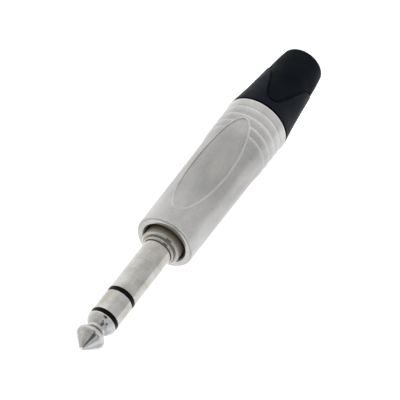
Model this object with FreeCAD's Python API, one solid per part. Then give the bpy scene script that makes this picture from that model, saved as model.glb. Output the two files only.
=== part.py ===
# Stereo jack plug, 6.35 mm, with a die-cast shell and a screw-on cable boot.
# The plug stands on the rear face of its boot with the tip up: the axis is +Z and the origin
# is the centre of that rear face. The oval panel on the shell faces -Y.
# Lengths are millimetres. Places along the plug are given as "back", the distance back from the tip.

import FreeCAD
import Part
import math
import os

Vector = FreeCAD.Vector
AXIS = Vector(0, 0, 1)

# Finger, the part that enters the jack
finger_d = 6.35
tip_len = 8.0
tip_washer_len = 1.15
ring_len = 5.4
ring_washer_len = 1.2
sleeve_len = 14.65
washer_recess = 0.03

# Head of the tip
nose_r = 0.9
head_d = 6.3
head_round = 0.9
nose_angle = 40.0
back_angle = 47.0
neck_d = 3.8
neck_len = 0.8
flare_swell = 0.12
tip_land = 0.2

# Rod and tubes inside the finger, from the middle outwards
rod_d = 2.2
tip_tube_wall = 0.35
ring_tube_wall = 0.5
ring_liner_wall = 0.4
rivet_len = 0.6
rivet_d = 3.3

# Collars behind the finger and the seat in the shell
neck_collar_d = 7.1
neck_collar_len = 0.8
collar_d = 8.6
collar_proud = 1.8
collar_chamfer = 0.28
root_groove_depth = 0.22
root_groove_len = 0.35
lip_len = 3.0
front_hole_d = 9.5
hole_chamfer = 0.38
flange_len = 2.5
spigot_d = 8.0
spigot_len = 2.6
seat_gap = 0.05

# Shell
shell_len = 39.7
shell_front_d = 13.0
shell_waist_d = 13.45
shell_front_round = 0.65
waist_to_crest = 3.5
crest_to_rear = 2.7
crest_d = 14.06
crest_pitch = 2.3
crest_count = 4
crest_growth = 0.07
crest_drop = 0.22
crest_fall = 0.5
rim_d = 14.5
rim_len = 0.5
rim_chamfer = 0.22
bore_d = 11.0
key_width = 1.8
key_depth = 0.35

# Oval panel on the shell
oval_width = 7.8
oval_to_front = 4.7
oval_to_rear = 5.8
oval_depth = 0.09
oval_lip = 0.26
oval_lip_height = 0.06
oval_rear_depth = 0.13

# Terminals and the block that carries them
sheet = 0.6
ground_plate_d = 10.2
ground_tab_width = 3.0
ground_tab_len = 14.5
block_len = 5.9
ring_plate_d = 6.0
tip_plate_d = 5.0
lug_width = 2.6
lug_reach = 4.0
ring_lug_len = 8.0
tip_lug_len = 6.6
solder_hole_d = 1.3
spacer_len = 0.8
spacer_d = 6.0
rail_wall = 0.85
rail_angle = 66.0

# Thread between the shell and the boot, drawn at its crests
thread_d = 12.0
thread_len = 6.5
thread_gap = 0.05
thread_relief = 0.2

# Chuck that grips the cable
chuck_ring_len = 2.6
chuck_ring_bore = 7.4
ring_to_spigot = 3.6
chuck_gap = 0.1
jaw_count = 4
jaw_slot = 1.0
jaw_d = 9.5
grip_d = 4.5
grip_len = 4.6
tooth_count = 3
tooth_depth = 0.3
cone_gap = 0.06
chuck_reach = 4.68

# Boot: a hard nut with a soft gland moulded over it
boot_len = 21.2
boot_front_d = 14.4
boot_mid_d = 12.95
boot_mid_back = 5.8
boot_peak_d = 11.4
peak_back = 14.0
boot_joint_gap = 0.12
boot_edge = 0.2
nut_bore_d = 10.0
cone_start = 0.2
cone_len = 6.8
nut_rear_bore_d = 7.2
gland_recess = 0.2
gland_skin = 0.95
gland_end_d = 9.7
gland_end_round = 0.95
gland_bore_d = 6.6
window_bottom = 2.1
window_turn = -16.5
window_groove_width = 0.65
window_groove_depth = 0.25

# Half of the window's outline: share of the boot's half width, and of the way to the peaks
window_curve = ((0.34, 0.115), (0.55, 0.43), (0.82, 0.83), (1.015, 1.02))

# Places along the plug, worked out from the lengths above
tip_washer_back = tip_len
ring_back = tip_washer_back + tip_washer_len
ring_washer_back = ring_back + ring_len
sleeve_back = ring_washer_back + ring_washer_len
neck_collar_back = sleeve_back + sleeve_len
collar_back = neck_collar_back + neck_collar_len
shell_back = collar_back + collar_proud
flange_back = shell_back + lip_len
ground_back = flange_back + flange_len
block_back = ground_back + sheet
ring_plate_back = block_back + block_len
spacer_back = ring_plate_back + sheet
tip_plate_back = spacer_back + spacer_len
rivet_back = tip_plate_back + sheet
shell_rear_back = shell_back + shell_len
boot_back = shell_rear_back + boot_joint_gap
jaw_end_back = boot_back + chuck_reach
spigot_front_back = shell_rear_back - thread_len
jaw_back = spigot_front_back - ring_to_spigot
chuck_back = jaw_back - chuck_ring_len
peak_end_back = boot_back + peak_back
overall = boot_back + boot_len

# Radii that follow from a neighbour
finger_r = finger_d / 2
tip_tube_r = rod_d / 2 + tip_tube_wall
ring_tube_r = tip_tube_r + ring_tube_wall
sleeve_bore_r = ring_tube_r + ring_liner_wall
bore_r = bore_d / 2
seat_r = bore_r - seat_gap
far = 4 * rim_d


def place(r, back):
    """A point of a turned outline: r from the axis, and back from the tip."""
    return Vector(r, 0, overall - back)


def outline(start, *steps):
    """A closed wire of lines, and of arcs where a step holds a point on the way and an end."""
    edges = []
    first = here = place(*start)
    for step in steps:
        if isinstance(step[0], tuple):
            way, end = place(*step[0]), place(*step[1])
            edges.append(Part.Arc(here, way, end).toShape())
        else:
            end = place(*step)
            edges.append(Part.LineSegment(here, end).toShape())
        here = end
    if here.distanceToPoint(first) > 1e-6:
        edges.append(Part.LineSegment(here, first).toShape())
    return Part.Wire(edges)


def turned(start, *steps):
    """The solid that an outline sweeps round the axis."""
    return Part.Face(outline(start, *steps)).revolve(Vector(0, 0, 0), AXIS, 360)


def tube(outer_r, inner_r, front, rear):
    """A plain ring or tube between two places along the plug."""
    return turned((inner_r, front), (outer_r, front), (outer_r, rear), (inner_r, rear))


def rod(r, front, rear):
    """A plain cylinder between two places along the plug."""
    return turned((0, front), (r, front), (r, rear), (0, rear))


def block(x_low, x_high, y_low, y_high, front, rear):
    """A box between two places along the plug."""
    size = (x_high - x_low, y_high - y_low, rear - front)
    return Part.makeBox(*size, Vector(x_low, y_low, overall - rear))


def rounded(centre, radius, degrees):
    """A point on a circle of an outline, degrees from straight out towards the rear."""
    turn = math.radians(degrees)
    return (centre[0] + radius * math.cos(turn), centre[1] + radius * math.sin(turn))


def round_edge(r, back, radius):
    """Two outline steps that turn a front face into a side wall by a rounded edge."""
    centre = (r - radius, back + radius)
    return [(centre[0], back), (rounded(centre, radius, -45), (r, centre[1]))]


def chamfer(r, back, size):
    """Two outline steps that turn a front face into a side wall by a bevelled edge."""
    return [(r - size, back), (r, back + size)]


def make_tip_contact():
    """The turned tip: nose, cone, round shoulder, neck and flare, on a rod through the plug."""
    rise = math.radians(nose_angle)
    nose_end = rounded((0, nose_r), nose_r, -nose_angle)
    nose_way = rounded((0, nose_r), nose_r, -(90 + nose_angle) / 2)
    shoulder_r = head_d / 2 - head_round
    reach = (shoulder_r - nose_end[0]) * math.cos(rise) + head_round
    shoulder = (shoulder_r, nose_end[1] + reach / math.sin(rise))
    cone_end = rounded(shoulder, head_round, -nose_angle)
    back_start = rounded(shoulder, head_round, 90 - back_angle)
    neck_r = neck_d / 2
    neck_front = back_start[1] + (back_start[0] - neck_r) / math.tan(math.radians(back_angle))
    flare_middle = (neck_front + neck_len + tip_len - tip_land) / 2
    flare_way = ((neck_r + finger_r) / 2 + flare_swell, flare_middle - flare_swell)
    return turned(
        (0, 0),
        (nose_way, nose_end),
        cone_end,
        (rounded(shoulder, head_round, 0), back_start),
        (neck_r, neck_front),
        (neck_r, neck_front + neck_len),
        (flare_way, (finger_r, tip_len - tip_land)),
        (finger_r, tip_len),
        (rod_d / 2, tip_len),
        (rod_d / 2, rivet_back),
        (rivet_d / 2, rivet_back),
        (rivet_d / 2, rivet_back + rivet_len / 2),
        (rivet_d / 2 - rivet_len / 2, rivet_back + rivet_len),
        (0, rivet_back + rivet_len),
    )


def make_ring_contact():
    """The turned ring, with the thin tube that carries it back to its terminal."""
    return turned(
        (tip_tube_r, ring_back),
        (finger_r, ring_back),
        (finger_r, ring_washer_back),
        (ring_tube_r, ring_washer_back),
        (ring_tube_r, spacer_back),
        (tip_tube_r, spacer_back),
    )


def make_sleeve_contact():
    """The turned sleeve, with its two collars, the flange that seats in the shell and a spigot."""
    return turned(
        (sleeve_bore_r, sleeve_back),
        (finger_r, sleeve_back),
        (finger_r, neck_collar_back - root_groove_len),
        (finger_r - root_groove_depth, neck_collar_back - root_groove_len / 2),
        (finger_r - root_groove_depth, neck_collar_back),
        *chamfer(neck_collar_d / 2, neck_collar_back, collar_chamfer),
        (neck_collar_d / 2, collar_back),
        *chamfer(collar_d / 2, collar_back, collar_chamfer),
        (collar_d / 2, flange_back),
        (seat_r, flange_back),
        (seat_r, ground_back),
        (spigot_d / 2, ground_back),
        (spigot_d / 2, ground_back + spigot_len),
        (sleeve_bore_r, ground_back + spigot_len),
    )


def make_washer(inner_r, front, rear):
    """A black insulating washer that shows between two contacts."""
    return tube(finger_r - washer_recess, inner_r, front, rear)


def crest(number):
    """The place and the radius of one of the grip crests round the shell."""
    steps_to_last = crest_count - 1 - number
    back = shell_rear_back - crest_to_rear - steps_to_last * crest_pitch
    return crest_d / 2 + number * crest_growth / 2, back


def shell_outer():
    """The shell's outer outline, from the front face to the rear face, with its grip crests."""
    front_r = shell_front_d / 2
    steps = round_edge(front_r, shell_back, shell_front_round)
    steps.append((shell_waist_d / 2, crest(0)[1] - waist_to_crest))
    for number in range(crest_count):
        r, back = crest(number)
        steps.append((r, back))
        steps.append((r - crest_drop, back + crest_fall))
    rim_r = rim_d / 2
    steps.append((rim_r, shell_rear_back - rim_len))
    steps.append((rim_r, shell_rear_back - rim_chamfer))
    steps.append((rim_r - rim_chamfer, shell_rear_back))
    return steps


def oval_prism(grow):
    """An elliptic bar along -Y whose outline is the panel's, larger by grow all round."""
    front, rear = shell_back + oval_to_front, shell_rear_back - oval_to_rear
    centre = Vector(0, 0, overall - (front + rear) / 2)
    end = centre + AXIS * ((rear - front) / 2 + grow)
    side = centre + Vector(oval_width / 2 + grow, 0, 0)
    ellipse = Part.Ellipse(end, side, centre)
    return Part.Face(Part.Wire(ellipse.toShape())).extrude(Vector(0, -far, 0))


def panel_body(front_grow, rear_grow):
    """The shell's smooth form over the crests' tops, grown at its front and over the crests."""
    first_r, first_back = crest(0)
    last_r, last_back = crest(crest_count - 1)
    front_r = shell_front_d / 2 + front_grow
    return turned(
        (0, shell_back + shell_front_round),
        (front_r, shell_back + shell_front_round),
        (shell_waist_d / 2 + front_grow, first_back - waist_to_crest),
        (first_r + rear_grow, first_back),
        (last_r + rear_grow, last_back),
        (0, last_back),
    )


def make_shell():
    """The die-cast shell: grip crests, oval panel, lip, key groove and the bore for the boot."""
    thread_r = thread_d / 2 + thread_gap
    hole_r = front_hole_d / 2
    outer = turned((0, shell_back), *shell_outer(), (0, shell_rear_back))
    panel, floor = oval_prism(0), panel_body(-oval_depth, -oval_rear_depth)
    frame = oval_prism(oval_lip).cut(panel)
    outer = outer.fuse(frame.common(panel_body(oval_lip_height, oval_lip_height)))
    outer = outer.cut(panel.cut(floor)).fuse(panel.common(floor))
    inner = turned(
        (0, shell_back),
        (hole_r + hole_chamfer, shell_back),
        (hole_r, shell_back + hole_chamfer),
        (hole_r, flange_back),
        (bore_r, flange_back),
        (bore_r, spigot_front_back - thread_relief),
        (thread_r, spigot_front_back - thread_relief),
        (thread_r, shell_rear_back - thread_relief),
        (thread_r + thread_relief, shell_rear_back),
        (0, shell_rear_back),
    )
    groove = block(
        -key_width / 2, key_width / 2, -bore_r - key_depth, 0, flange_back, chuck_back
    )
    return outer.cut(inner.fuse(groove)).removeSplitter()


def tab(x_low, x_high, y_low, y_high, front, rear, hole_at):
    """A flat solder tab along the plug, round-ended, with a hole for the wire."""
    thin_x = x_high - x_low < y_high - y_low
    width = (y_high - y_low) if thin_x else (x_high - x_low)
    body = block(x_low, x_high, y_low, y_high, front, rear - width / 2)
    centre = Vector((x_low + x_high) / 2, (y_low + y_high) / 2, overall - rear + width / 2)
    along = Vector(1, 0, 0) if thin_x else Vector(0, 1, 0)
    start = centre - along * (sheet / 2)
    body = body.fuse(Part.makeCylinder(width / 2, sheet, start, along))
    hole_start = Vector(start.x, start.y, overall - hole_at) - along * sheet
    return body.cut(Part.makeCylinder(solder_hole_d / 2, 3 * sheet, hole_start, along))


def make_ground_terminal():
    """A plate behind the flange, with a long tab bent back beside the terminal block."""
    plate = tube(ground_plate_d / 2, spigot_d / 2, ground_back, block_back)
    rear = ground_back + ground_tab_len
    outer = ground_plate_d / 2 - sheet / 4
    half = ground_tab_width / 2
    long_tab = tab(-half, half, outer - sheet, outer, ground_back, rear, rear - half)
    return plate.fuse(long_tab).removeSplitter()


def make_ring_terminal():
    """A plate on the ring tube, with a solder tab on the +X side."""
    plate = rod(ring_plate_d / 2, ring_plate_back, spacer_back)
    half = lug_width / 2
    rear = ring_plate_back + ring_lug_len
    arm = block(0, lug_reach, -half, half, ring_plate_back, spacer_back)
    lug = tab(lug_reach - sheet, lug_reach, -half, half, ring_plate_back, rear, rear - half)
    body = plate.fuse(arm).fuse(lug).removeSplitter()
    return body.cut(rod(ring_tube_r, ring_plate_back, spacer_back))


def make_tip_terminal():
    """A plate under the riveted end of the rod, with a solder tab on the -X side."""
    plate = rod(tip_plate_d / 2, tip_plate_back, rivet_back)
    half = lug_width / 2
    rear = tip_plate_back + tip_lug_len
    arm = block(-lug_reach, 0, -half, half, tip_plate_back, rivet_back)
    lug = tab(-lug_reach, sheet - lug_reach, -half, half, tip_plate_back, rear, rear - half)
    body = plate.fuse(arm).fuse(lug).removeSplitter()
    return body.cut(rod(rod_d / 2, tip_plate_back, rivet_back))


def sector(angle, middle, front, rear):
    """A wedge round the axis, angle degrees wide, with its middle at the given bearing."""
    radius = far
    wedge = Part.makeCylinder(radius, rear - front, Vector(0, 0, overall - rear), AXIS, angle)
    wedge.rotate(Vector(0, 0, 0), AXIS, middle - angle / 2)
    return wedge


def make_terminal_block():
    """The moulded block behind the flange, with a key, a slot for the ground tab and two rails."""
    body = tube(seat_r, sleeve_bore_r, block_back, ring_plate_back)
    body = body.cut(rod(spigot_d / 2, block_back, ground_back + spigot_len))
    key_r = bore_r + key_depth - seat_gap
    key_half = key_width / 2 - seat_gap
    key = block(-key_half, key_half, -key_r, -sleeve_bore_r - 1, block_back, ring_plate_back)
    body = body.fuse(key.cut(rod(spigot_d / 2, block_back, ring_plate_back)))
    slot_low = ground_plate_d / 2 - sheet / 4 - sheet - seat_gap
    slot_half = ground_tab_width / 2 + seat_gap
    body = body.cut(block(-slot_half, slot_half, slot_low, far, block_back, ring_plate_back))
    for bearing in (0, 180):
        rail = tube(seat_r, seat_r - rail_wall, block_back + block_len / 2, chuck_back)
        wedge = sector(rail_angle, bearing, block_back, chuck_back)
        body = body.fuse(rail.common(wedge))
    return body.removeSplitter()


def cone_r(back):
    """The radius of the boot's closing cone at a place along the plug."""
    start, end = boot_back + cone_start, boot_back + cone_start + cone_len
    share = (back - start) / (end - start)
    return (nut_bore_d + (nut_rear_bore_d - nut_bore_d) * share) / 2


def make_chuck():
    """The chuck: a ring with jaws that the boot's cone closes on the cable, toothed inside."""
    jaw_r = jaw_d / 2
    slope = (nut_bore_d - nut_rear_bore_d) / 2 / cone_len
    meet = boot_back + cone_start + (nut_bore_d / 2 - cone_gap - jaw_r) / slope
    grip_back = jaw_end_back - grip_len
    pitch = grip_len / tooth_count
    inner = [(grip_d / 2 + tooth_depth, jaw_end_back)]
    for number in range(tooth_count):
        edge = jaw_end_back - number * pitch
        inner.append((grip_d / 2, edge - pitch / 2))
        inner.append((grip_d / 2 + tooth_depth, edge - pitch))
    body = turned(
        (chuck_ring_bore / 2, chuck_back),
        (bore_r - chuck_gap, chuck_back),
        (bore_r - chuck_gap, jaw_back),
        (jaw_r, jaw_back),
        (jaw_r, meet),
        (cone_r(jaw_end_back) - cone_gap, jaw_end_back),
        *inner,
        (chuck_ring_bore / 2, grip_back - grip_len / 2),
    )
    for number in range(jaw_count):
        slot = block(0, far, -jaw_slot / 2, jaw_slot / 2, jaw_back, jaw_end_back)
        slot.rotate(Vector(0, 0, 0), AXIS, number * 360 / jaw_count + 180 / jaw_count)
        body = body.cut(slot)
    return body


def boot_outer(inset):
    """The boot's outer steps down to its hard peaks, set in by inset."""
    return [
        (boot_front_d / 2 - inset, boot_back + boot_edge),
        (boot_mid_d / 2 - inset, boot_back + boot_mid_back),
        (boot_peak_d / 2 - inset, peak_end_back),
    ]


def window_prism(inset):
    """A bar right through the boot whose outline is the U of its two soft windows, set in by inset."""
    bottom = overall - boot_back - window_bottom - inset
    top = overall - peak_end_back
    wide = boot_peak_d / 2
    side = [Vector(0, 0, bottom)]
    for across, along in window_curve:
        side.append(Vector(wide * across - inset, 0, bottom - (bottom - top) * along))
    other = [Vector(-p.x, 0, p.z) for p in side]
    curves = []
    for points, flat in ((side, Vector(1, 0, 0)), (other, Vector(-1, 0, 0))):
        spline = Part.BSplineCurve()
        slope = points[-1] - points[-2]
        spline.interpolate(Points=points, InitialTangent=flat, FinalTangent=slope.normalize())
        curves.append(spline.toShape())
    low = top - boot_len
    corners = [side[-1], Vector(far, 0, side[-1].z), Vector(far, 0, low)]
    corners += [Vector(-far, 0, low), Vector(-far, 0, other[-1].z), other[-1]]
    lines = [Part.LineSegment(a, b).toShape() for a, b in zip(corners, corners[1:])]
    wire = Part.Wire(Part.__sortEdges__(curves + lines))
    prism = Part.Face(wire).extrude(Vector(0, 2 * far, 0))
    prism.translate(Vector(0, -far, 0))
    prism.rotate(Vector(0, 0, 0), AXIS, window_turn)
    return prism


def make_boot_nut():
    """The hard half of the boot: threaded spigot, closing cone and the outside with its windows."""
    front_r = thread_d / 2
    lead = 2 * thread_relief
    cone_begin = boot_back + cone_start
    body = turned(
        (nut_bore_d / 2, spigot_front_back),
        (front_r - lead, spigot_front_back),
        (front_r, spigot_front_back + lead),
        (front_r, boot_back),
        (boot_front_d / 2 - boot_edge, boot_back),
        *boot_outer(0),
        (nut_rear_bore_d / 2, peak_end_back),
        (nut_rear_bore_d / 2, cone_begin + cone_len),
        (nut_bore_d / 2, cone_begin),
    )
    outside = turned(
        (0, boot_back + boot_edge),
        *boot_outer(gland_skin),
        (boot_peak_d / 2 - gland_skin, overall),
        (0, overall),
    )
    return body.cut(window_prism(0).cut(outside))


def make_boot_gland(nut):
    """The soft half of the boot: a skin in the nut's windows, and the rounded rear sleeve."""
    end_r = gland_end_d / 2
    corner = (end_r - gland_end_round, overall - gland_end_round)
    window_front = boot_back + window_bottom / 2
    peak_r = boot_peak_d / 2 - gland_recess
    mid_back = (peak_end_back + corner[1]) / 2
    mid_r = (peak_r + end_r) / 2 + gland_recess / 2
    body = turned(
        (0, window_front),
        *boot_outer(gland_recess),
        ((mid_r, mid_back), (end_r, corner[1])),
        (rounded(corner, gland_end_round, 45), (corner[0], overall)),
        (0, overall),
    )
    floor = turned(
        (0, window_front),
        *boot_outer(gland_recess + window_groove_depth),
        (0, peak_end_back),
    )
    windows = rod(far, window_front, peak_end_back)
    groove = windows.cut(window_prism(window_groove_width)).cut(floor)
    core = turned(
        (0, window_front),
        *boot_outer(gland_skin),
        (nut_rear_bore_d / 2, peak_end_back),
        (gland_bore_d / 2, peak_end_back),
        (gland_bore_d / 2, overall),
        (0, overall),
    )
    return body.cut(nut).cut(core).cut(groove)


def make_parts():
    """Every separate piece of the plug, by the name that a person would use."""
    ring_liner_end = ring_plate_back
    nut = make_boot_nut()
    return {
        "tip_contact": make_tip_contact(),
        "tip_washer": make_washer(rod_d / 2, tip_washer_back, ring_back),
        "tip_tube": tube(tip_tube_r, rod_d / 2, ring_back, spacer_back),
        "ring_contact": make_ring_contact(),
        "ring_washer": make_washer(ring_tube_r, ring_washer_back, sleeve_back),
        "ring_tube": tube(sleeve_bore_r, ring_tube_r, sleeve_back, ring_liner_end),
        "sleeve_contact": make_sleeve_contact(),
        "shell": make_shell(),
        "ground_terminal": make_ground_terminal(),
        "terminal_block": make_terminal_block(),
        "ring_terminal": make_ring_terminal(),
        "terminal_spacer": tube(spacer_d / 2, rod_d / 2, spacer_back, tip_plate_back),
        "tip_terminal": make_tip_terminal(),
        "chuck": make_chuck(),
        "boot_nut": nut,
        "boot_gland": make_boot_gland(nut),
    }


os.makedirs("parts", exist_ok=True)
for name, shape in make_parts().items():
    solids = shape.Solids
    print(name, len(solids), "solid(s)", round(shape.Volume, 3), "mm3", shape.isValid())
    shape.exportStep("parts/" + name + ".step")
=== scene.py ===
import math

import bpy
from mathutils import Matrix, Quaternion, Vector


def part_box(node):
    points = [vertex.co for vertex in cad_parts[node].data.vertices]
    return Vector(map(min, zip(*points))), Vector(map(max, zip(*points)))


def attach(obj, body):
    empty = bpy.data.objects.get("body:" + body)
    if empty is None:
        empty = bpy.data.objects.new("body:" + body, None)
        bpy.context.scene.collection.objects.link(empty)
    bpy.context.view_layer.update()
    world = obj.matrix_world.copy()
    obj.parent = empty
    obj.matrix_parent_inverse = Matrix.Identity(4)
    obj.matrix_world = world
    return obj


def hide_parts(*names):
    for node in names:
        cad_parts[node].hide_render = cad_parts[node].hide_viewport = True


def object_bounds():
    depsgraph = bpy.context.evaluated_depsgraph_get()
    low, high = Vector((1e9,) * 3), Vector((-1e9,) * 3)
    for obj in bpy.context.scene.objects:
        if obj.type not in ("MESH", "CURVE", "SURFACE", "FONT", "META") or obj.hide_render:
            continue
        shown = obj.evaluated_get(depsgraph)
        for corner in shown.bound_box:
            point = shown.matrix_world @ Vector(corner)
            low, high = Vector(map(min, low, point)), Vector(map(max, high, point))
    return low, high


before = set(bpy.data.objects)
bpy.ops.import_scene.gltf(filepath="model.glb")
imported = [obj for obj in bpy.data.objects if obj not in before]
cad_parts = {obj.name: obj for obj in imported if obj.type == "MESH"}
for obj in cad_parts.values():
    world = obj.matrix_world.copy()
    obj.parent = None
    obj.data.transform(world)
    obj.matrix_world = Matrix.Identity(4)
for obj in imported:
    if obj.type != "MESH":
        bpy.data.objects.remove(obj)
cadLow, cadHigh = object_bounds()
mm = 0.001
plugTop = cadHigh.z
print("frame loaded")


# Small helpers for colours, nodes and materials

def hexColour(code):
    # sRGB hex to the linear values that a shader takes
    channels = [int(code[i:i + 2], 16) / 255 for i in (1, 3, 5)]
    linear = [c / 12.92 if c <= 0.04045 else ((c + 0.055) / 1.055) ** 2.4 for c in channels]
    return (*linear, 1.0)


def addNode(tree, kind, inputs=(), output=0, **settings):
    # inputs are values or links, in the order of the node's sockets or by name or number, settings
    # are the node's own choices, and one output is handed back. A Mix of colours has its factor
    # and colours at 0, 6 and 7 and its result at 2
    node = tree.nodes.new("ShaderNode" + kind)
    for name, value in settings.items():
        setattr(node, name, value)
    for place, value in inputs.items() if isinstance(inputs, dict) else enumerate(inputs):
        if isinstance(value, bpy.types.NodeSocket):
            tree.links.new(value, node.inputs[place])
        else:
            node.inputs[place].default_value = value
    return node.outputs[output] if node.outputs else None


def newMaterial(name):
    material = bpy.data.materials.new(name)
    material.use_nodes = True
    material.node_tree.nodes.clear()
    return material


def dress(obj, material):
    obj.data.materials.clear()
    obj.data.materials.append(material)


# Camera: the photo looks down on the tip end, with the plug lying across the frame

cameraView = {
    "lens": 261.0,
    "distance": 604 * mm,
    "azimuth": -22.0,
    "elevation": 37.3,
    "roll": -142.0,
    "belowTip": 47.53 * mm,
    "sideShift": 0.4 * mm,
    "clip": (50 * mm, 20.0),
}


def makeCamera(view):
    azimuth, elevation = math.radians(view["azimuth"]), math.radians(view["elevation"])
    back = Vector((
        math.sin(azimuth) * math.cos(elevation),
        -math.cos(azimuth) * math.cos(elevation),
        math.sin(elevation),
    ))
    right = Vector((math.cos(azimuth), math.sin(azimuth), 0))
    target = Vector((0, 0, plugTop - view["belowTip"])) - right * view["sideShift"]
    lens = bpy.data.cameras.new("photoCamera")
    lens.lens = view["lens"]
    lens.clip_start, lens.clip_end = view["clip"]
    camera = bpy.data.objects.new("photoCamera", lens)
    bpy.context.scene.collection.objects.link(camera)
    camera.rotation_mode = "QUATERNION"
    camera.location = target + back * view["distance"]
    roll = Quaternion((0, 0, 1), math.radians(view["roll"]))
    camera.rotation_quaternion = (-back).to_track_quat("-Z", "Y") @ roll
    bpy.context.scene.camera = camera


makeCamera(cameraView)
print("camera placed")


# Patterns that the materials share, all on the part's own coordinates and sized in metres

def pattern(tree, size, detail, stretch=1.0):
    # stretch above 1 draws the noise out along the plug's axis, below 1 round it
    place = addNode(tree, "TexCoord", output="Object")
    around, along = (size, size * stretch) if stretch > 1 else (size / stretch, size)
    scaled = addNode(tree, "Mapping", {"Vector": place, "Scale": (1 / around, 1 / around, 1 / along)})
    return addNode(tree, "TexNoise", {"Vector": scaled, "Scale": 1.0, "Detail": detail})


def softEdges(tree, radius, limits=(0.995, 0.9)):
    # the normal as if each edge were worn round, and a mask that is 1 along the edges
    worn = addNode(tree, "Bevel", {"Radius": radius}, samples=8)
    surface = addNode(tree, "NewGeometry", output="Normal")
    same = addNode(tree, "VectorMath", (worn, surface), "Value", operation="DOT_PRODUCT")
    return worn, addNode(tree, "MapRange", (same, *limits, 0, 1))


def cylindrical(tree):
    # the distance from the plug's axis and the height along it
    place = addNode(tree, "TexCoord", output="Object")
    flat = addNode(tree, "VectorMath", (place, (1, 1, 0)), operation="MULTIPLY")
    reach = addNode(tree, "VectorMath", (flat,), "Value", operation="LENGTH")
    return reach, addNode(tree, "SeparateXYZ", (place,), "Z")


# Where the shell begins and ends along the axis

shellRear, shellFront = (corner.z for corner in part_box("shell"))

# Turned brass contacts under bright nickel: mirror-like, with tool lines round the axis, rub marks
# along it from the jack's springs, clouds of faint tarnish, pale edges that are painted highlight
# with some edge wear, and painted shade in a residue brown: in the grooves, where it also stands for
# residue, and on the big collar's wall towards the shell.
# The tool lines are drawn four times as coarse as real ones, so that they show

turned = {
    "base": "#bfc0be",
    "tarnish": "#aaa69c",
    # painted shade, also standing for residue: the brown of the grooves and of the zone below
    "residueShade": "#685946",
    # painted highlight, with some edge wear: the pale colour that the edges are mixed towards
    "paleEdges": "#e9e9e6",
    "clouds": (3.2 * mm, 4.0),  # a pattern's size, detail and stretch
    "specks": (0.5 * mm, 3.0),
    "lines": (0.4 * mm, 2.0, 0.02),
    "rubs": (0.5 * mm, 3.0, 24),
    "cloudDull": 0.6,
    "fineDull": 0.2,
    "tarnishFrom": (0.44, 0.62),
    "shadeReach": 1.8 * mm,
    "shadeFrom": (0.45, 0.9),
    "residueMetal": 0.25,
    "residueRough": 0.35,
    # a zone of painted shade along the axis, here the big collar's wall towards the shell
    "zoneShadeFront": (shellFront + 1.7 * mm, shellFront),
    "zoneShadeRear": (0, 1 * mm),
    "zoneShadeShare": 0.95,
    "edge": 0.06 * mm,
    "edgeShare": 0.7,
    "lineDepth": 0.009 * mm,
    "rubHeight": 0.4,
    "tarnishRough": 0.5,
    "rubRough": 0.5,
    "roughFrom": (0.2, 0.75),
    "roughness": (0.07, 0.17),
}
# The tip wipes past the springs each time, so it is cleaner, cooler and brighter than the rest,
# with painted shade, a dark band in a grime colour, behind its shoulder
wipedTip = dict(
    turned, base="#c6c7c7", tarnish="#a9aaa9", tarnishFrom=(0.42, 0.7), residueShade="#4a4742",
    roughness=(0.03, 0.1), clouds=(1.6 * mm, 4.0), shadeFrom=(0.25, 0.6),
    # painted shade: the dark band behind the shoulder
    zoneShadeFront=(plugTop - 3.95 * mm, plugTop - 4.25 * mm), residueMetal=0.7,
    zoneShadeRear=(plugTop - 5.5 * mm, plugTop - 5.1 * mm),
)


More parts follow.
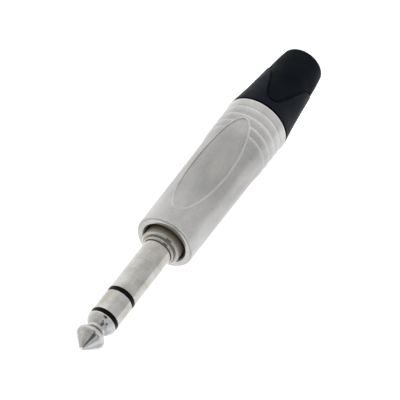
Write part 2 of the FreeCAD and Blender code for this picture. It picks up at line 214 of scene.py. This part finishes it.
def turnedNickel(name, look):
    material = newMaterial(name)
    tree = material.node_tree
    clouds, specks, lines, rubs = (
        pattern(tree, *look[part]) for part in ("clouds", "specks", "lines", "rubs")
    )
    broad = addNode(tree, "Math", (clouds, look["cloudDull"]), operation="MULTIPLY")
    fine = addNode(tree, "Math", (specks, lines), operation="ADD")
    fine = addNode(tree, "Math", (fine, look["fineDull"]), operation="MULTIPLY")
    dull = addNode(tree, "Math", (broad, fine), operation="ADD")
    tarnish = addNode(tree, "MapRange", (dull, *look["tarnishFrom"], 0, 1))
    edgeNormal, edge = softEdges(tree, look["edge"])
    # painted highlight, with some edge wear: the share of pale colour along the edges
    paleEdges = addNode(tree, "Math", (edge, look["edgeShare"]), operation="MULTIPLY")

    # painted shade in a residue brown: in the grooves that the ambient occlusion finds, where it also
    # stands for residue, and in one zone along the axis
    bare = addNode(tree, "AmbientOcclusion", {"Distance": look["shadeReach"]}, "AO", samples=8)
    grooveShadeAndResidue = addNode(tree, "MapRange", (bare, *look["shadeFrom"], 1, 0))
    z = cylindrical(tree)[1]
    front = addNode(tree, "MapRange", (z, *look["zoneShadeFront"], 0, look["zoneShadeShare"]))
    rear = addNode(tree, "MapRange", (z, *look["zoneShadeRear"], 0, 1))
    zoneShade = addNode(tree, "Math", (front, rear), operation="MULTIPLY")
    residueAndShade = addNode(tree, "Math", (grooveShadeAndResidue, zoneShade), operation="MAXIMUM")

    colour = hexColour(look["base"])
    # tarnish, then painted shade that also stands for residue, then painted highlight on the edges
    for share, second in ((tarnish, "tarnish"), (residueAndShade, "residueShade"), (paleEdges, "paleEdges")):
        colour = addNode(tree, "Mix", {
            0: share, 6: colour, 7: hexColour(look[second]),
        }, 2, data_type="RGBA")
    cloudy = addNode(tree, "Math", (tarnish, look["tarnishRough"]), operation="MULTIPLY")
    scuffs = addNode(tree, "Math", (rubs, look["rubRough"]), operation="MULTIPLY")
    rough = addNode(tree, "Math", (cloudy, scuffs), operation="ADD")
    rough = addNode(tree, "MapRange", (rough, *look["roughFrom"], *look["roughness"]))
    dirt = addNode(tree, "Math", (residueAndShade, look["residueRough"]), operation="MULTIPLY")
    marks = addNode(tree, "Math", (rubs, look["rubHeight"]), operation="MULTIPLY")
    marks = addNode(tree, "Math", (lines, marks), operation="ADD")
    metal = addNode(tree, "BsdfPrincipled", {
        "Base Color": colour,
        "Metallic": addNode(tree, "MapRange", (residueAndShade, 0, 1, 1, look["residueMetal"])),
        "Roughness": addNode(tree, "Math", (rough, dirt), operation="ADD"),
        "Normal": addNode(tree, "Bump", {
            "Height": marks, "Distance": look["lineDepth"], "Normal": edgeNormal,
        }),
    })
    addNode(tree, "OutputMaterial", (metal,))
    return material


# Die-cast shell, blasted and then nickel plated: a soft grey with a fine grain and faint pale clouds
# that run along it, painted shade that darkens the waist, pale crests that are painted highlight,
# pale edges that are painted highlight with some edge wear, and a polished front rim. The blasted
# skin scatters part of the light, so the metal is mixed with a share of matt. The grain is drawn
# twice as coarse as the real one

satin = {
    "base": "#aeb0b2",
    "pale": "#c4c3c1",
    # painted shade: a darker copy of the base and pale colours, on the waist between these two ends
    "shadedBase": "#9b9da0",
    "shadedPale": "#b1afad",
    "waistShadeFront": (58 * mm, 45 * mm),
    "waistShadeRear": (21 * mm, 37 * mm),
    "clouds": (3.2 * mm, 3.0, 2.2),
    "grain": (0.22 * mm, 3.0),
    "cloudPale": 0.6,
    "grainPale": 0.4,
    "paleFrom": (0.38, 0.62),
    "edge": 0.2 * mm,
    "edgeFrom": (0.994, 0.92),
    # painted highlight: edges, with some edge wear, and crests are mixed towards this pale colour
    "edgeColour": "#e8e7e4",
    "edgeShare": 0.7,
    "edgeRough": 0.15,
    "crestReach": (6.95 * mm, 7.08 * mm),
    "crestZone": (35 * mm, 33 * mm),
    "crestShare": 0.22,
    "polished": (shellFront - 0.9 * mm, shellFront - 0.5 * mm),
    "polishedRough": 0.25,
    "metallic": 0.78,
    "grainDepth": 0.012 * mm,
    "roughFrom": (0.3, 0.7),
    "roughness": (0.26, 0.38),
}


def satinNickel(look):
    material = newMaterial("satinNickel")
    tree = material.node_tree
    clouds, grain = (pattern(tree, *look[part]) for part in ("clouds", "grain"))
    broad = addNode(tree, "Math", (clouds, look["cloudPale"]), operation="MULTIPLY")
    fine = addNode(tree, "Math", (grain, look["grainPale"]), operation="MULTIPLY")
    mottled = addNode(tree, "Math", (broad, fine), operation="ADD")
    pale = addNode(tree, "MapRange", (mottled, *look["paleFrom"], 0, 1))
    edgeNormal, edge = softEdges(tree, look["edge"], look["edgeFrom"])
    reach, z = cylindrical(tree)

    # painted shade darkens the waist between two soft ends; crests are high places near the rear,
    # painted paler as highlight
    front = addNode(tree, "MapRange", (z, *look["waistShadeFront"], 0, 1), interpolation_type="SMOOTHSTEP")
    rear = addNode(tree, "MapRange", (z, *look["waistShadeRear"], 0, 1), interpolation_type="SMOOTHSTEP")
    waistShade = addNode(tree, "Math", (front, rear), operation="MULTIPLY")
    high = addNode(
        tree, "MapRange", (reach, *look["crestReach"], 0, look["crestShare"]),
        interpolation_type="SMOOTHSTEP",
    )
    zone = addNode(tree, "MapRange", (z, *look["crestZone"], 0, 1))
    crests = addNode(tree, "Math", (high, zone), operation="MULTIPLY")
    # painted highlight, with some edge wear, on the edges, and painted highlight on the crests
    rims = addNode(tree, "Math", (edge, look["edgeShare"]), operation="MULTIPLY")
    paleEdges = addNode(tree, "Math", (crests, rims), operation="MAXIMUM")

    grainy = addNode(tree, "MapRange", (grain, *look["roughFrom"], *look["roughness"]))
    shine = addNode(tree, "MapRange", (z, *look["polished"], 1, look["polishedRough"]))
    rough = addNode(tree, "Math", (shine, grainy), operation="MULTIPLY")
    scuffed = addNode(tree, "MapRange", (z, *look["polished"], look["edgeRough"], 0))
    scuffed = addNode(tree, "Math", (edge, scuffed), operation="MULTIPLY")
    # the colours twice: as they are, and as a darker copy that is painted shade on the waist
    unshaded, shaded = (
        addNode(tree, "Mix", {
            0: pale, 6: hexColour(look[first]), 7: hexColour(look[second]),
        }, 2, data_type="RGBA") for first, second in (("base", "pale"), ("shadedBase", "shadedPale"))
    )
    colour = addNode(tree, "Mix", {0: waistShade, 6: unshaded, 7: shaded}, 2, data_type="RGBA")
    colour = addNode(tree, "Mix", {
        0: paleEdges, 6: colour, 7: hexColour(look["edgeColour"]),
    }, 2, data_type="RGBA")
    metal = addNode(tree, "BsdfPrincipled", {
        "Base Color": colour,
        "Metallic": look["metallic"],
        "Roughness": addNode(tree, "Math", (rough, scuffed), operation="ADD"),
        "Normal": addNode(tree, "Bump", {
            "Height": grain, "Distance": look["grainDepth"], "Normal": edgeNormal,
        }),
    })
    addNode(tree, "OutputMaterial", (metal,))
    return material


# Stamped brass terminals under hot-dipped tin: a soft white metal with pale flow marks

tinned = {
    "base": "#b9b7ae",
    "pale": "#d6d4cc",
    "flow": (1.4 * mm, 3.0, 2.5),
    "flowDepth": 0.02 * mm,
    "paleFrom": (0.35, 0.65),
    "roughFrom": (0.3, 0.7),
    "roughness": (0.2, 0.42),
    "edge": 0.06 * mm,
}


def tinnedSheet(look):
    material = newMaterial("tinnedSheet")
    tree = material.node_tree
    flow = pattern(tree, *look["flow"])
    edgeNormal, edge = softEdges(tree, look["edge"])
    streaks = addNode(tree, "MapRange", (flow, *look["paleFrom"], 0, 1))
    pale = addNode(tree, "Math", (streaks, edge), operation="MAXIMUM")
    metal = addNode(tree, "BsdfPrincipled", {
        "Base Color": addNode(tree, "Mix", {
            0: pale, 6: hexColour(look["base"]), 7: hexColour(look["pale"]),
        }, 2, data_type="RGBA"),
        "Metallic": 1.0,
        "Roughness": addNode(tree, "MapRange", (flow, *look["roughFrom"], *look["roughness"])),
        "Normal": addNode(tree, "Bump", {
            "Height": flow, "Distance": look["flowDepth"], "Normal": edgeNormal,
        }),
    })
    addNode(tree, "OutputMaterial", (metal,))
    return material


# Moulded plastics: a spark-eroded grain from the mould, clouds of shine and paler worn edges. The
# boot's nut has a painted shadow, a black band, where its front edge meets the shell

moulded = {
    "wornFrom": (0.35, 0.6),
    "wornShare": (0.35, 1.0),
    "roughFrom": (0.35, 0.65),
}
insulator = dict(
    moulded, colour="#030303", worn="#141414", roughness=(0.26, 0.4), gloss=0.07,
    grain=(0.2 * mm, 2.0), grainDepth=0.004 * mm, clouds=(2 * mm, 3.0), edge=0.06 * mm,
)
bootNut = dict(
    moulded, colour="#070f18", worn="#232d36", roughness=(0.42, 0.58), gloss=0.045,
    grain=(0.25 * mm, 2.0), grainDepth=0.014 * mm, clouds=(4 * mm, 3.0), edge=0.12 * mm,
    # painted shadow: the black band where the nut's front edge meets the shell
    gapShadow=(shellRear - 0.5 * mm, shellRear - 0.25 * mm), gapShadowReach=(6.8 * mm, 7.0 * mm),
    gapShadowColour="#000000",
)
bootGland = dict(
    moulded, colour="#060c13", worn="#1b242c", roughness=(0.52, 0.7), gloss=0.037,
    grain=(0.35 * mm, 2.0), grainDepth=0.012 * mm, clouds=(5 * mm, 3.0), edge=0.12 * mm,
)
acetal = dict(
    moulded, colour="#cfccc1", worn="#e2e0d8", roughness=(0.3, 0.44), gloss=0.5,
    grain=(0.3 * mm, 2.0), grainDepth=0.006 * mm, clouds=(3 * mm, 3.0), edge=0.1 * mm,
)


def mouldedPlastic(name, look):
    material = newMaterial(name)
    tree = material.node_tree
    clouds, grain = (pattern(tree, *look[part]) for part in ("clouds", "grain"))
    edgeNormal, edge = softEdges(tree, look["edge"])
    patchy = addNode(tree, "MapRange", (clouds, *look["wornFrom"], *look["wornShare"]))
    paleEdges = addNode(tree, "Math", (edge, patchy), operation="MULTIPLY")
    colour = addNode(tree, "Mix", {
        0: paleEdges, 6: hexColour(look["colour"]), 7: hexColour(look["worn"]),
    }, 2, data_type="RGBA")
    # painted shadow: a black band on the nut's front edge, where it meets the shell
    if "gapShadow" in look:
        reach, z = cylindrical(tree)
        front = addNode(tree, "MapRange", (z, *look["gapShadow"], 0, 1))
        outer = addNode(tree, "MapRange", (reach, *look["gapShadowReach"], 0, 1))
        gapShadow = addNode(tree, "Math", (front, outer), operation="MULTIPLY")
        colour = addNode(tree, "Mix", {
            0: gapShadow, 6: colour, 7: hexColour(look["gapShadowColour"]),
        }, 2, data_type="RGBA")
    plastic = addNode(tree, "BsdfPrincipled", {
        "Base Color": colour,
        "Roughness": addNode(tree, "MapRange", (clouds, *look["roughFrom"], *look["roughness"])),
        "Specular IOR Level": look["gloss"],
        "Normal": addNode(tree, "Bump", {
            "Height": grain, "Distance": look["grainDepth"], "Normal": edgeNormal,
        }),
    })
    addNode(tree, "OutputMaterial", (plastic,))
    return material


finishes = {
    "turned": turnedNickel("turnedNickel", turned),
    "tip": turnedNickel("wipedNickel", wipedTip),
    "satin": satinNickel(satin),
    "tinned": tinnedSheet(tinned),
    "insulator": mouldedPlastic("insulatorPlastic", insulator),
    "nut": mouldedPlastic("bootPolyamide", bootNut),
    "gland": mouldedPlastic("bootElastomer", bootGland),
    "chuck": mouldedPlastic("chuckAcetal", acetal),
}
nodeFinish = {
    "tip_contact": "tip",
    "ring_contact": "turned",
    "sleeve_contact": "turned",
    "tip_washer": "insulator",
    "ring_washer": "insulator",
    "tip_tube": "insulator",
    "ring_tube": "insulator",
    "terminal_block": "insulator",
    "terminal_spacer": "insulator",
    "ground_terminal": "tinned",
    "ring_terminal": "tinned",
    "tip_terminal": "tinned",
    "shell": "satin",
    "chuck": "chuck",
    "boot_gland": "gland",
}
for node, finish in nodeFinish.items():
    dress(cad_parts[node], finishes[finish])
print("materials on the packed parts")


# The boot's nut again, with the thread cut into its spigot, which the CAD leaves smooth at the
# crests: a turn for each millimetre of the boot's travel, with narrow flats on roots and crests

bootThread = {
    "crestRadius": 6.0 * mm,
    "pitch": 1.0 * mm,
    "depth": 0.45 * mm,
    "flat": 0.2 * mm,
    "past": 0.12 * mm,  # how far the cutter reaches outside the crests
    "afterShoulder": 0.62 * mm,  # from the shell's rear to the middle of the first groove
    "turns": 7,
    "steps": 48,
    "weld": 0.0001 * mm,
    "creaseAngle": 32.0,
}


def makeThreadCutter(look):
    # the groove's section, wider outside, is run up a right-hand helix and closed at both ends
    slope = (look["pitch"] / 2 - look["flat"]) / look["depth"]
    reach = look["depth"] + look["past"]
    middle = look["crestRadius"] + look["past"] - reach / 2
    bpy.ops.object.select_all(action="DESELECT")
    bpy.ops.mesh.primitive_plane_add(
        size=look["flat"], location=(middle, 0, shellRear + look["afterShoulder"]),
        rotation=(math.pi / 2, 0, 0),
    )
    cutter = bpy.context.active_object
    bpy.ops.transform.resize(value=(reach / look["flat"], 1, 1))
    bpy.ops.object.transform_apply(location=True, rotation=True, scale=True)
    bpy.ops.object.mode_set(mode="EDIT")
    bpy.ops.mesh.delete(type="ONLY_FACE")
    bpy.ops.object.mode_set(mode="OBJECT")
    for vertex in cutter.data.vertices:
        vertex.select = vertex.co.x > middle
    for edge in cutter.data.edges:
        edge.select = all(cutter.data.vertices[i].select for i in edge.vertices)
    bpy.ops.object.mode_set(mode="EDIT")
    bpy.ops.transform.resize(value=(1, 1, 1 + 2 * slope * reach / look["flat"]))
    bpy.ops.object.mode_set(mode="OBJECT")
    helix = cutter.modifiers.new("helix", "SCREW")
    helix.screw_offset, helix.iterations = look["pitch"], look["turns"]
    helix.steps = helix.render_steps = look["steps"]
    bpy.ops.object.modifier_apply(modifier=helix.name)
    bpy.ops.object.mode_set(mode="EDIT")
    bpy.ops.mesh.select_all(action="SELECT")
    bpy.ops.mesh.fill_holes(sides=4)
    bpy.ops.mesh.select_all(action="SELECT")
    bpy.ops.mesh.normals_make_consistent(inside=False)
    bpy.ops.object.mode_set(mode="OBJECT")
    return cutter


def makeThreadedNut(node, look):
    cutter = makeThreadCutter(look)
    nut = bpy.data.objects.new("threadedNut", node.data.copy())
    bpy.context.scene.collection.objects.link(nut)
    bpy.ops.object.select_all(action="DESELECT")
    nut.select_set(True)
    bpy.context.view_layer.objects.active = nut
    bpy.ops.object.mode_set(mode="EDIT")
    bpy.ops.mesh.select_all(action="SELECT")
    bpy.ops.mesh.remove_doubles(threshold=look["weld"])
    bpy.ops.mesh.normals_make_consistent(inside=False)
    bpy.ops.object.mode_set(mode="OBJECT")
    bpy.ops.mesh.customdata_custom_splitnormals_clear()
    cut = nut.modifiers.new("thread", "BOOLEAN")
    cut.operation, cut.solver, cut.object = "DIFFERENCE", "EXACT", cutter
    bpy.ops.object.modifier_apply(modifier=cut.name)
    bpy.ops.object.shade_smooth_by_angle(angle=math.radians(look["creaseAngle"]))
    bpy.data.objects.remove(cutter)
    return nut


threadedNut = makeThreadedNut(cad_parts["boot_nut"], bootThread)
dress(threadedNut, finishes["nut"])
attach(threadedNut, "boot")
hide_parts("boot_nut")
print("thread cut in the boot's nut")


# Studio: a pale floor that glows like a light table, with more glow at the plug's foot. It is
# darker in a patch in front of the plug, which the metal mirrors, and even again far away. The sky
# is soft, with dim places where the plug mirrors the room behind the camera

studio = {
    "floorSize": 6.0,
    "floorColour": "#f4f4f4",
    "floorRough": 0.9,
    "glowColour": "#ffffff",
    "glow": 0.46,
    "frontGlow": 0.0,
    "frontEdge": (-0.12, -0.99, 0),
    "frontStart": (2 * mm, 12 * mm),
    "side": (0.927, -0.375, 0),
    "leftFade": (58 * mm, 128 * mm),
    "leftScale": 92 * mm,
    "rightFade": (-45 * mm, 5 * mm),
    "rightShare": 0.2,
    "nearFade": (35 * mm, 50 * mm),
    "farFade": (115 * mm, 250 * mm),
    "footGlow": 0.5,
    "footFade": (10 * mm, 40 * mm),
    "skyBright": 0.98,
    # parts of the sky: turn and height, inner and outer angle, and what the light is multiplied by
    "room": {"towards": (-28.0, 50.0), "angles": (10.0, 95.0), "share": 0.76},
    "wall": {"towards": (22.0, 46.0), "angles": (8.0, 36.0), "share": 0.84},
    "shade": {"towards": (-38.0, 52.0), "angles": (9.0, 17.0), "share": 0.22},
    "shadeEdge": (-105.0, 0.0),
    "shadeSharp": (-0.03, 0.03),
    "lens": {"towards": (-22.0, 36.0), "angles": (3.5, 6.5), "share": 0.1},
    "stand": {"towards": (-64.0, 32.0), "angles": (4.0, 10.0), "share": 0.2},
    "lamp": {"towards": (-84.0, 38.0), "angles": (3.0, 12.0), "share": 0.8},
    "bench": {"towards": (-19.0, 4.0), "angles": (8.0, 18.0), "share": 0.15},
    "card": {"towards": (-104.0, 14.0), "angles": (10.0, 30.0), "share": 1.35},
    "window": {"towards": (158.0, 36.0), "angles": (12.0, 40.0), "share": 1.35},
    "warm": "#fffaf3",
    "cool": "#f9fafc",
    "tintFade": (-0.7, 0.7),
    "softboxSize": 0.25,
    "softboxPower": 0.12,
    "softboxPlace": (60 * mm, 140 * mm, 0.4),
}


def makeFloor(setup):
    bpy.ops.object.select_all(action="DESELECT")
    bpy.ops.mesh.primitive_plane_add(size=setup["floorSize"])
    floor = bpy.context.active_object
    floor.name = "floor"
    paint = newMaterial("floorPaint")
    tree = paint.node_tree
    place = addNode(tree, "TexCoord", output="Object")
    away = addNode(tree, "VectorMath", (place,), "Value", operation="LENGTH")
    ahead = addNode(tree, "VectorMath", (place, setup["frontEdge"]), "Value", operation="DOT_PRODUCT")
    across = addNode(tree, "VectorMath", (place, setup["side"]), "Value", operation="DOT_PRODUCT")
    reach = addNode(tree, "Math", (across, away), operation="MULTIPLY")
    reach = addNode(tree, "Math", (reach, setup["leftScale"]), operation="DIVIDE")
    left = addNode(tree, "MapRange", (reach, *setup["leftFade"], 1 - setup["rightShare"], 0))
    right = addNode(tree, "MapRange", (across, *setup["rightFade"], setup["rightShare"], 0))
    front, near, far, foot = (
        addNode(tree, "MapRange", values, interpolation_type="SMOOTHSTEP") for values in (
            (ahead, *setup["frontStart"], 0, 1), (away, *setup["nearFade"], 0, 1),
            (away, *setup["farFade"], 1, 0), (away, *setup["footFade"], setup["footGlow"], 0),
        )
    )
    dark = addNode(tree, "Math", (left, right), operation="ADD")
    for part in (front, near, far):
        dark = addNode(tree, "Math", (dark, part), operation="MULTIPLY")
    glow = addNode(tree, "MapRange", (dark, 0, 1, setup["glow"], setup["frontGlow"]))
    matt = addNode(tree, "BsdfPrincipled", {
        "Base Color": hexColour(setup["floorColour"]),
        "Roughness": setup["floorRough"],
        "Specular IOR Level": 0.0,
        "Emission Color": hexColour(setup["glowColour"]),
        "Emission Strength": addNode(tree, "Math", (glow, foot), operation="ADD"),
    })
    addNode(tree, "OutputMaterial", (matt,))
    dress(floor, paint)


def bearing(angles):
    # the direction at an angle round from -Y, towards +X, and at a height above the floor
    theta, height = (math.radians(angle) for angle in angles)
    return math.sin(theta) * math.cos(height), -math.cos(theta) * math.cos(height), math.sin(height)


def makeSky(setup):
    # an even sky that is dimmed or lit part by part: the room behind the camera with one wall, a
    # darker shade with one sharp side above it, small dark patches for the lens, a stand, a lamp
    # and the bench, and a pale card and a window that add light
    world = bpy.data.worlds.new("studioSky")
    world.use_nodes = True
    tree = world.node_tree
    view = addNode(tree, "TexCoord", output="Generated")
    shadeSide = bearing(setup["shadeEdge"])
    sharp = addNode(tree, "VectorMath", (view, shadeSide), "Value", operation="DOT_PRODUCT")
    sharp = addNode(tree, "MapRange", (sharp, *setup["shadeSharp"], 0, 1))
    light = setup["skyBright"]
    for name in ("room", "wall", "shade", "lens", "stand", "lamp", "bench", "card", "window"):
        part = setup[name]
        inner, outer = (math.cos(math.radians(angle)) for angle in part["angles"])
        amount = addNode(
            tree, "VectorMath", (view, bearing(part["towards"])), "Value", operation="DOT_PRODUCT",
        )
        amount = addNode(
            tree, "MapRange", (amount, outer, inner, 0, part["share"] - 1),
            interpolation_type="SMOOTHSTEP",
        )
        if name == "shade":
            amount = addNode(tree, "Math", (amount, sharp), operation="MULTIPLY")
        amount = addNode(tree, "Math", (amount, 1.0), operation="ADD")
        light = addNode(tree, "Math", (light, amount), operation="MULTIPLY")
    side = addNode(tree, "VectorMath", (view, setup["side"]), "Value", operation="DOT_PRODUCT")
    side = addNode(tree, "MapRange", (side, *setup["tintFade"], 0, 1))
    tint = addNode(tree, "Mix", {
        0: side, 6: hexColour(setup["cool"]), 7: hexColour(setup["warm"]),
    }, 2, data_type="RGBA")
    background = tree.nodes["Background"]
    tree.links.new(light, background.inputs["Strength"])
    tree.links.new(tint, background.inputs["Color"])
    bpy.context.scene.world = world


def makeSoftbox(setup):
    lamp = bpy.data.lights.new("softbox", "AREA")
    lamp.size = setup["softboxSize"]
    lamp.energy = setup["softboxPower"]
    box = bpy.data.objects.new("softbox", lamp)
    box.location = setup["softboxPlace"]
    towards = Vector((0, 0, plugTop / 2)) - box.location
    box.rotation_euler = towards.to_track_quat("-Z", "Y").to_euler()
    box.visible_camera = False
    bpy.context.scene.collection.objects.link(box)


makeFloor(studio)
makeSky(studio)
makeSoftbox(studio)
bpy.context.scene.view_settings.view_transform = "Standard"
print("studio built")
